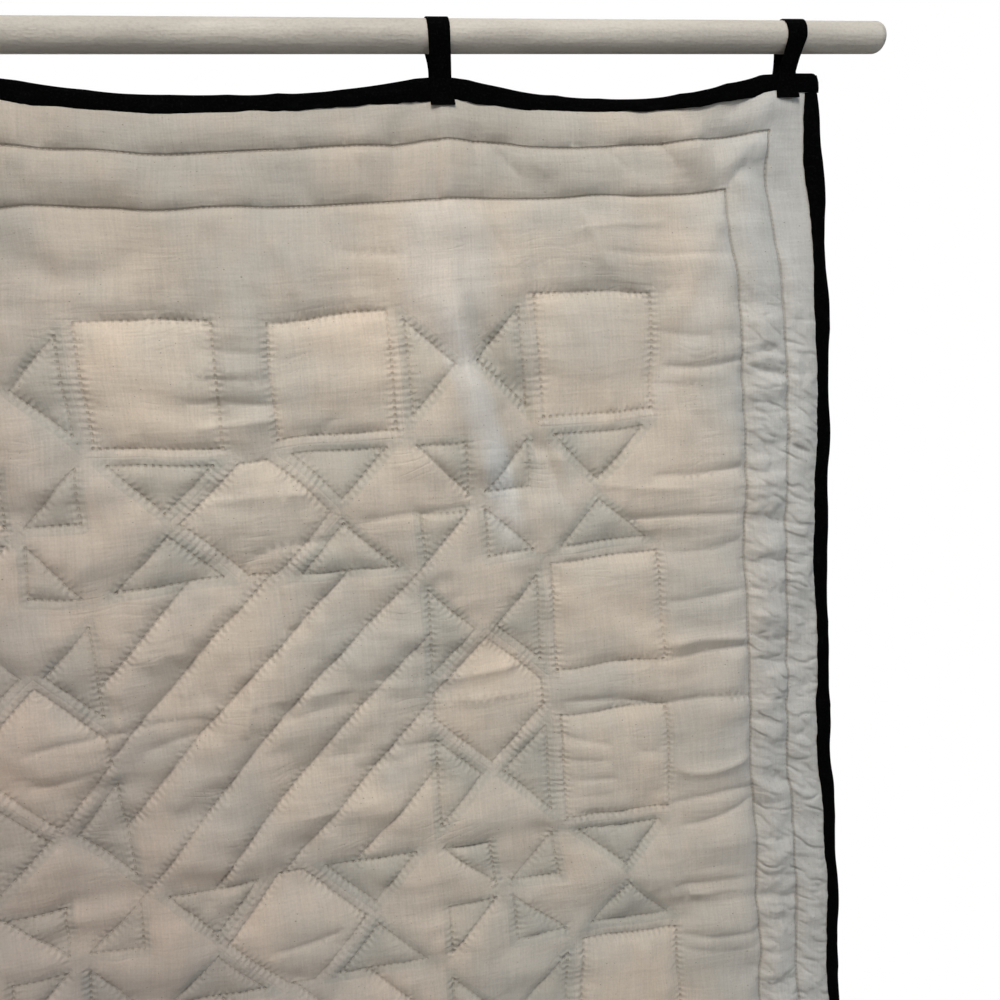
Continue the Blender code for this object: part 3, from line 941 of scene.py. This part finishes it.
def stitch_paths(name, lines, lift):
    """Edges along the sewn lines, lying on the front of the cloth."""
    plan_points, edges = [], []
    for line in lines:
        count = max(1, math.ceil(np.hypot(*(line[2:] - line[:2])) / PATH_STEP))
        first = len(plan_points)
        plan_points += list(line[:2] + np.linspace(0, 1, count + 1)[:, None] * (line[2:] - line[:2]))
        edges += [(first + number, first + number + 1) for number in range(count)]
    places, _ = surface(np.array(plan_points), "front")
    places += (0, -lift, 0)
    mesh = bpy.data.meshes.new(name)
    mesh.from_pydata(places.tolist(), edges, [])
    return put(name, mesh)


def stitch_shape():
    """One bead of thread along X, pointed at both ends, where it dives into the cloth."""
    reach, radius = STITCH_LENGTH / 2, THREAD / 2
    points = [(-reach, 0, -2 * radius)]
    for x in (-0.55 * reach, 0.55 * reach):
        for turn in range(4):
            angle = math.pi / 2 * turn
            points.append((x, radius * math.cos(angle), radius * math.sin(angle)))
    points.append((reach, 0, -2 * radius))
    faces = []
    for turn in range(4):
        after = (turn + 1) % 4
        faces += [(0, 1 + after, 1 + turn), (1 + turn, 1 + after, 5 + after, 5 + turn)]
        faces.append((9, 5 + turn, 5 + after))
    return mesh_object("one_stitch", np.array(points), faces)


def stitch_tree():
    """Geometry Nodes: beads at an even pitch along the paths, facing out of the cloth."""
    tree = bpy.data.node_groups.new("running_stitch", "GeometryNodeTree")
    kinds = {"Paths": "Geometry", "Pitch": "Float", "Bead": "Object", "Thread": "Material"}
    sockets = [
        tree.interface.new_socket(name, in_out="INPUT", socket_type="NodeSocket" + kind)
        for name, kind in kinds.items()
    ]
    tree.interface.new_socket("Stitches", in_out="OUTPUT", socket_type="NodeSocketGeometry")

    nodes = Nodes(tree)
    paths, pitch, bead, finish = (nodes.node("NodeGroupInput", output=name) for name in kinds)
    curves = nodes.node("GeometryNodeMeshToCurve", {}, {"Mesh": paths})
    evenly = {"Curve": curves, "Length": pitch}
    even = nodes.node("GeometryNodeResampleCurve", {"mode": "LENGTH"}, evenly)
    points = nodes.node("GeometryNodeCurveToPoints", {"mode": "EVALUATED"}, {"Curve": even}, "Points")
    leaning = {"Min": (-0.10, -0.22, -0.12), "Max": (0.10, 0.22, 0.12), "Seed": 5}
    lean = nodes.node("FunctionNodeRandomValue", {"data_type": "FLOAT_VECTOR"}, leaning)
    outwards = {"Vector": (0.0, -1.0, 0.0)}
    upright = nodes.node("FunctionNodeAlignEulerToVector", {"axis": "Z"}, outwards)
    follow = {"Rotation": upright, "Vector": points.beside("Tangent")}
    along = nodes.node("FunctionNodeAlignEulerToVector", {"axis": "X", "pivot_axis": "Z"}, follow)
    loosely = {"Rotation": along, "Rotate By": lean}
    loose = nodes.node("FunctionNodeRotateEuler", {"space": "LOCAL"}, loosely)
    model = nodes.node("GeometryNodeObjectInfo", {}, {"Object": bead}, "Geometry")
    laid = {"Points": points, "Instance": model, "Rotation": loose}
    beads = nodes.node("GeometryNodeInstanceOnPoints", {}, laid)
    real = nodes.node("GeometryNodeRealizeInstances", {}, {"Geometry": beads})
    dressed = nodes.node("GeometryNodeSetMaterial", {}, {"Geometry": real, "Material": finish})
    nodes.set(tree.nodes.new("NodeGroupOutput").inputs[0], dressed)
    return tree, [socket.identifier for socket in sockets[1:]]


def sew(name, lines, pitch, thread, lift=0.0001):
    """Run stitches along the lines, as one plain mesh."""
    paths = stitch_paths(name + "_paths", lines, lift)
    modifier = paths.modifiers.new("stitches", "NODES")
    modifier.node_group = running_stitch
    for identifier, value in zip(stitch_inputs, (pitch, one_stitch, thread)):
        modifier[identifier] = value
    graph = bpy.context.evaluated_depsgraph_get()
    mesh = bpy.data.meshes.new_from_object(paths.evaluated_get(graph))
    mesh.name = name
    mesh.shade_smooth()
    made = put(name, mesh)
    bpy.data.objects.remove(paths)
    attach(made, "root")
    return made


THREAD_COLOUR = (0.60, 0.53, 0.43, 1)
thread = Finish("cotton_thread", roughness=0.75, sheen=0.1, specular=0.3)
thread_place = thread.node("ShaderNodeTexCoord", output=3)
ply = thread.noise(thread_place, scale=2400.0, detail=1.0)
thread.dress(thread.blend(ply.ramp(0.35, 0.65), THREAD_COLOUR, (0.48, 0.42, 0.34, 1)), ply * 0.05)

one_stitch = stitch_shape()
running_stitch, stitch_inputs = stitch_tree()
patch_stitches = sew("patchwork_stitches", patch_lines, PATCH_STITCH / 1000, thread.material)
border_stitches = sew("border_stitches", border_lines, BORDER_STITCH / 1000, thread.material)
bpy.data.objects.remove(one_stitch)


# ---------------------------------------------------------------------------------------------
# Binding. Four bias-cut strips of black cotton folded over the raw edge and stitched down on the
# front. The two side strips butt between the top and bottom ones, whose ends are folded shut.
# ---------------------------------------------------------------------------------------------

BINDING_THICKNESS = 0.0012
RIM_HALF_THICKNESS = 0.0020
BINDING_GAP = 0.0003
BINDING_STEP = 0.0034
BINDING_CALM_END = 0.015
CREST_STEPS = 6
CORNER = 0.004
UNEVEN = (0.055, 0.013, 0.034, 0.0048)  # lengths of its slack, crumples, kinks and whipped stitches


def travel_along(path):
    return np.concatenate([[0], np.cumsum(np.linalg.norm(np.diff(path, axis=0), axis=1))])


def sweep(name, sections, finish):
    """A skin over rings of points, with a map of metres along it and round it."""
    sections = np.asarray(sections)
    count, around = sections.shape[:2]
    index = np.arange(count * around).reshape(count, around)
    here, after = index[:-1], index[1:]
    faces = np.stack([here, np.roll(here, -1, 1), np.roll(after, -1, 1), after], axis=-1).reshape(-1, 4)
    faces = [tuple(face) for face in faces.tolist()]
    faces += [tuple(index[0][::-1].tolist()), tuple(index[-1].tolist())]
    made = mesh_object(name, sections.reshape(-1, 3), faces)
    ways = travel_along(sections.mean(axis=1)), travel_along(sections[count // 2])
    lay_map(made.data, np.stack(np.meshgrid(*ways, indexing="ij"), axis=-1).reshape(-1, 2))
    body = bmesh.new()
    body.from_mesh(made.data)
    bmesh.ops.recalc_face_normals(body, faces=body.faces)
    body.to_mesh(made.data)
    body.free()
    made.data.materials.append(finish.material)
    made.data.set_sharp_from_angle(angle=math.radians(50))
    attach(made, "root")
    return made


BLACK_DYE = (0.0004, 0.0004, 0.0006, 1)
WORN_BLACK = (0.0052, 0.0052, 0.0056, 1)

black_cotton = Finish("black_cotton", roughness=0.9, sheen=0.0, specular=0.03)
strip_place = black_cotton.node("ShaderNodeUVMap", {"uv_map": "cloth"})
strip_u, strip_v, _ = [part * 1000 for part in black_cotton.parts(strip_place)]
bias_a = ((strip_u + strip_v) * (math.tau / 0.85)).sine()
bias_b = ((strip_u - strip_v) * (math.tau / 0.85)).sine()
lint = black_cotton.spots((strip_u, strip_v), (1.6, 1.6), detail=3.0)
rub = black_cotton.spots((strip_u, strip_v), (14, 6))
strip_wrinkle = black_cotton.spots((strip_u, strip_v), (5.0, 12))
black = black_cotton.blend(lint.ramp(0.50, 0.72) * 0.7 + rub.ramp(0.5, 0.8) * 0.3, BLACK_DYE, WORN_BLACK)
black_cotton.dress(black, bias_a * bias_b * 0.05 + strip_wrinkle * 0.8 + lint * 0.1)


def binding_section(width, puff, crest_shift):
    """Ring of (across the thickness, in from the edge) points of the folded strip."""
    inner = RIM_HALF_THICKNESS + BINDING_GAP
    outer = inner + BINDING_THICKNESS
    fold = [
        (outer * math.sin(turn), -(BINDING_GAP + BINDING_THICKNESS) + outer * (1 - math.cos(turn)))
        for turn in np.linspace(-math.pi / 2, math.pi / 2, 2 * CREST_STEPS + 1)
    ]
    fold = [(y, depth - crest_shift) for y, depth in fold]
    front = [(-outer - puff, 0.45 * width), (-outer - 0.6 * puff, 0.8 * width), (-outer + 0.0006, width)]
    back = [(outer + puff, 0.45 * width), (outer + 0.5 * puff, 0.8 * width), (outer - 0.0006, width)]
    inside = [(inner, width), (inner * 0.99, 0.4 * width), (inner * 0.8, 0.0005), (0, 0.0)]
    inside += [(-y, depth) for y, depth in inside[2::-1]]
    return front[::-1] + fold + back + inside


def binding_strip(name, start, end, inward, width, seed, corner):
    """A folded strip along one side of the plan, its outer corners rounded to the given radius."""
    start, end, inward = (np.array(point, float) for point in (start, end, inward))
    length = np.hypot(*(end - start))
    near_end = corner * np.array([0.03, 0.12, 0.3, 0.6, 1.0]) if corner else np.zeros(0)
    even = np.linspace(0, length, round(length / BINDING_STEP) + 1)
    even = even[(even == 0) | (even == length) | (np.minimum(even, length - even) > corner + 0.001)]
    travel = np.sort(np.concatenate([even, near_end, length - near_end]))
    shares = travel / length
    count = len(travel)
    short = np.clip(corner - np.minimum(travel, length - travel), 0, corner)
    rounded = corner - np.sqrt(np.maximum(corner**2 - short**2, 0))
    slack, crumple, kinks, whipped = (
        unit_noise(travel / size, travel * 0 + 0.5, seed + number) for number, size in enumerate(UNEVEN)
    )
    settled = 1 - np.exp(-np.minimum(travel, length - travel) / BINDING_CALM_END)
    plan_points = []
    widths = width * (1 + settled * (0.16 * slack + 0.06 * crumple + 0.05 * whipped))
    puffs = 0.0003 + 0.0006 * abs(crumple)
    shifts = settled * np.maximum(0.0018 * slack + 0.0026 * (0.5 - abs(kinks)), -0.0003) - rounded
    for share, *section in zip(shares, widths, puffs, shifts):
        place = start + share * (end - start)
        for y, depth in binding_section(*section):
            x, z = place + depth * inward
            plan_points.append((x, y, z))
    rings = hang(np.array(plan_points)).reshape(count, -1, 3)
    strip = sweep(f"cotton_{name}", rings, black_cotton)
    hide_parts(name)
    return strip


overlap = BINDING_GAP + BINDING_THICKNESS
end_x = CLOTH_HALF_WIDTH + overlap
side_top = CLOTH_UP - BINDING_WIDTH["top"] - 0.00005
side_bottom = -CLOTH_DOWN + BINDING_WIDTH["bottom"] + 0.00005
edge_x = CLOTH_HALF_WIDTH
strips = (  # start, end, inward, kind of width, seed, corner radius
    ("binding_top", (-end_x, CLOTH_UP), (end_x, CLOTH_UP), (0, -1), "top", 51, CORNER),
    ("binding_bottom", (end_x, -CLOTH_DOWN), (-end_x, -CLOTH_DOWN), (0, 1), "bottom", 53, CORNER),
    ("binding_right", (edge_x, side_top), (edge_x, side_bottom), (-1, 0), "side", 55, 0.0),
    ("binding_left", (-edge_x, side_bottom), (-edge_x, side_top), (1, 0), "side", 57, 0.0),
)
bindings = [
    binding_strip(name, start, end, inward, BINDING_WIDTH[kind], seed, corner)
    for name, start, end, inward, kind, seed, corner in strips
]


# ---------------------------------------------------------------------------------------------
# Pole. A turned softwood pole painted off-white by hand, with softly rounded ends and the faint
# lengthwise ridges that the brush leaves.
# ---------------------------------------------------------------------------------------------

POLE_SIDES = 96
POLE_ROUND = 0.008
POLE_STEP = 0.012
POLE_ROUND_STEPS = 8
POLE_WEAR = 0.006  # of the radius
POLE_WEAR_LENGTH = 0.11
pole_low, pole_high = np.array(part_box("pole"))
pole_radius = (pole_high[2] - pole_low[2]) / 2


def pole_rings():
    reach = pole_high[0]
    arc = np.linspace(0, math.pi / 2, POLE_ROUND_STEPS + 1)
    round_end = [
        (reach - POLE_ROUND * (1 - math.sin(turn)), pole_radius - POLE_ROUND * (1 - math.cos(turn)))
        for turn in arc
    ]
    straight = np.linspace(-reach + POLE_ROUND, reach - POLE_ROUND, round(2 * reach / POLE_STEP))
    profile = [(-x, radius) for x, radius in round_end[::-1]]
    profile += [(x, pole_radius) for x in straight[1:-1]] + round_end
    profile = [(x, radius) for x, radius in profile if radius > 0]
    turns = np.arange(POLE_SIDES) / POLE_SIDES * math.tau
    rings = []
    for x, radius in profile:
        place = np.full(POLE_SIDES, x / POLE_WEAR_LENGTH + 9)
        worn = 1 + POLE_WEAR * unit_noise(np.cos(turns) * 1.5 + 9, place, 71)
        around = np.stack([np.cos(turns), np.sin(turns)], axis=1) * (radius * worn)[:, None]
        rings.append(np.column_stack([np.full(POLE_SIDES, x), around]))
    return rings


PAINT = (0.585, 0.545, 0.480, 1)
PAINT_SHADE = (0.42, 0.39, 0.345, 1)
pole_paint = Finish("pole_paint", roughness=0.5, specular=0.35)
pole_place = pole_paint.node("ShaderNodeTexCoord", output=3)
pole_mm = [part * 1000 for part in pole_paint.parts(pole_place)]
brush = pole_paint.spots(pole_mm, (55, 1.3, 1.3), detail=3.0)
drag = pole_paint.spots(pole_mm, (12, 3.2, 3.2))
grime = pole_paint.spots(pole_mm, (90, 20, 20), detail=3.0)
stipple = pole_paint.spots(pole_mm, (2.6, 1.9, 1.9), detail=3.0)
paint = pole_paint.blend(grime.ramp(0.35, 0.7) * 0.6 + stipple.ramp(0.4, 0.8) * 0.4, PAINT, PAINT_SHADE)
pole_paint.dress(paint, brush * 0.24 + drag * 0.40 + stipple * 0.42, 0.52 + brush * 0.2)
pole = sweep("painted_pole", pole_rings(), pole_paint)
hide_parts("pole")


# ---------------------------------------------------------------------------------------------
# Tabs. Five loops of black cotton tape, folded over the pole and sewn to the top binding, one leg
# in front of the quilt and one behind it, with their cut ends left showing.
# ---------------------------------------------------------------------------------------------

TAPE_THICKNESS = 0.0009
TAB_SEWN_LENGTH = 0.0200
TAB_ARC_STEPS = 22
TAB_LEG_STEPS = 14
tape_reach = RIM_HALF_THICKNESS + 2 * BINDING_GAP + BINDING_THICKNESS + TAPE_THICKNESS / 2
loop_radius = pole_radius + BINDING_GAP + TAPE_THICKNESS / 2
tape_face = [(-0.480, 0.38), (-0.440, 0.50), (0.000, 0.46), (0.440, 0.50), (0.480, 0.38)]
tape_shape = [  # across the width, through the thickness, both from the middle
    (-0.500, 0.0),
    *tape_face,
    (0.500, 0.0),
    *[(-across, -through) for across, through in tape_face],
]


def tab_path(on_quilt, on_pole):
    """Middle line of the tape, from the front's cut end over the pole to the back's."""
    crest = hang([(on_quilt, 0, CLOTH_UP + BINDING_GAP + BINDING_THICKNESS)])[0, 2]
    touch = math.atan2(-crest, tape_reach) - math.acos(loop_radius / math.hypot(tape_reach, crest))
    turns = np.linspace(-touch, math.pi + touch, TAB_ARC_STEPS)
    arc = np.stack([-loop_radius * np.cos(turns), loop_radius * np.sin(turns)], axis=1)
    foot = np.array([-tape_reach, crest])
    depths = np.linspace(TAB_SEWN_LENGTH, 0, 10)[:-1]
    shares = (-0.5, -0.25, 0, 0.25, 0.5)
    under = [(on_quilt + share * TAPE_WIDTH, CLOTH_UP - depth) for depth in depths for share in shares]
    swell = -surface(np.array(under), "front")[0][:, 1].reshape(len(depths), -1).min(axis=1)
    lies = np.maximum(swell + BINDING_GAP + TAPE_THICKNESS / 2, tape_reach)
    front_end = np.column_stack([-lies, crest - depths])
    back_end = np.column_stack([np.full(len(depths), tape_reach), crest - depths])
    leg = foot + np.linspace(0, 1, TAB_LEG_STEPS)[:-1, None] * (arc[0] - foot)
    sideways = np.concatenate([np.zeros(len(depths)), np.linspace(0, 1, TAB_LEG_STEPS)[:-1]])
    x_front = on_quilt + sideways * (on_pole - on_quilt)
    y_z = np.vstack([front_end, leg, arc, leg[::-1] * (-1, 1), back_end[::-1]])
    x = np.concatenate([x_front, np.full(len(arc), on_pole), x_front[::-1]])
    return np.column_stack([x, y_z]), crest


def tab(number, on_quilt, on_pole):
    path, crest = tab_path(on_quilt, on_pole)
    way = np.gradient(path[:, 1:], axis=0)
    way /= np.linalg.norm(way, axis=1)[:, None]
    out = np.column_stack([np.zeros(len(path)), -way[:, 1], way[:, 0]])
    travel = travel_along(path)
    width = TAPE_WIDTH * (1 + 0.05 * unit_noise(travel / 0.016, travel * 0 + number, 61))
    width *= 1 - 0.10 * np.exp(-(((path[:, 2] - crest - 0.010) / 0.012) ** 2))
    width *= 1 + 0.09 * np.exp(-((np.minimum(travel, travel[-1] - travel) / 0.008) ** 2))
    rings = []
    for across, through in tape_shape:
        side = np.column_stack([across * width, np.zeros((len(path), 2))])
        rings.append(path + side + through * TAPE_THICKNESS * out)
    made = sweep(f"tape_tab_{number}", np.stack(rings, axis=1), black_cotton)
    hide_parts(f"tab_{number}")
    return made


tabs = [tab(number, *places) for number, places in enumerate(TABS, start=1)]


# ---------------------------------------------------------------------------------------------
# Stage: a pale floor well below the quilt, soft studio light from above, both sides and behind, a
# white surround, and the camera in front of the quilt's right half.
# ---------------------------------------------------------------------------------------------

FLOOR_DEPTH = 1.55
CAMERA_PLACE = (0.2088, -0.7414, -0.2538)
CAMERA_AIM = (0.1858, 0.9751, -0.1211)
CAMERA_RIGHT = (0.9789, -0.1944, -0.0635)

floor_corners = [(-2.2, -2.2), (2.2, -2.2), (2.2, 0.45), (-2.2, 0.45)]
floor = mesh_object("floor", np.array([(x, y, -FLOOR_DEPTH) for x, y in floor_corners]), [range(4)])
pale_floor = Finish("pale_floor", roughness=0.9)
pale_floor.set(pale_floor.shader.inputs["Base Color"], (0.75, 0.74, 0.72, 1))
floor.data.materials.append(pale_floor.material)


def area_light(name, place, target, size, power, colour):
    data = bpy.data.lights.new(name, "AREA")
    data.shape = "DISK"
    data.size = size
    data.energy = power
    data.color = colour
    light = put(name, data)
    light.location = place
    light.rotation_euler = (Vector(target) - Vector(place)).to_track_quat("-Z", "Y").to_euler()


area_light("key", (-1.0, -2.2, 3.0), (0.1, 0, -0.5), 0.8, 44, (1.0, 0.97, 0.935))
area_light("lamp", (0.22, -1.05, 0.85), (0.34, 0, -0.3), 0.42, 12.5, (1.0, 0.97, 0.93))
area_light("window", (1.9, -1.5, 0.3), (0.5, 0, -0.5), 0.8, 6, (0.60, 0.80, 1.0))
area_light("fill", (-2.0, -2.0, 0.2), (-0.3, 0, -0.8), 1.4, 2.2, (1.0, 0.62, 0.40))
area_light("back", (-0.9, 2.4, 0.2), (0.0, 0, -0.65), 1.2, 36, (1.0, 0.98, 0.95))

world = bpy.data.worlds.new("studio")
world.use_nodes = True
bpy.context.scene.world = world
sky = Nodes(world.node_tree)
_, _, upward = sky.parts(sky.node("ShaderNodeTexCoord"))
brighter_above = {"Value": upward, "From Min": -0.5, "From Max": 0.7, "To Min": 0.02, "To Max": 0.36}
strength = sky.node("ShaderNodeMapRange", {}, brighter_above)
dim = sky.node("ShaderNodeBackground", {}, {"Color": (0.95, 0.97, 1.0, 1), "Strength": strength})
white = sky.node("ShaderNodeBackground", {}, {"Color": (1, 1, 1, 1), "Strength": 1.0})
is_camera_ray = sky.node("ShaderNodeLightPath")
surround = sky.node("ShaderNodeMixShader", {}, {0: is_camera_ray, 1: dim, 2: white})
sky.set(sky.tree.nodes["World Output"].inputs["Surface"], surround)
bpy.context.scene.view_settings.view_transform = "Standard"

lens = bpy.data.cameras.new("camera")
lens.lens = 35
lens.sensor_width = 36
camera = put("camera", lens)
forward = Vector(CAMERA_AIM).normalized()
right = Vector(CAMERA_RIGHT)
right = (right - right.dot(forward) * forward).normalized()
up = right.cross(forward)
turn = Matrix((right, up, -forward)).transposed().to_4x4()
camera.matrix_world = Matrix.Translation(CAMERA_PLACE) @ turn
bpy.context.scene.camera = camera
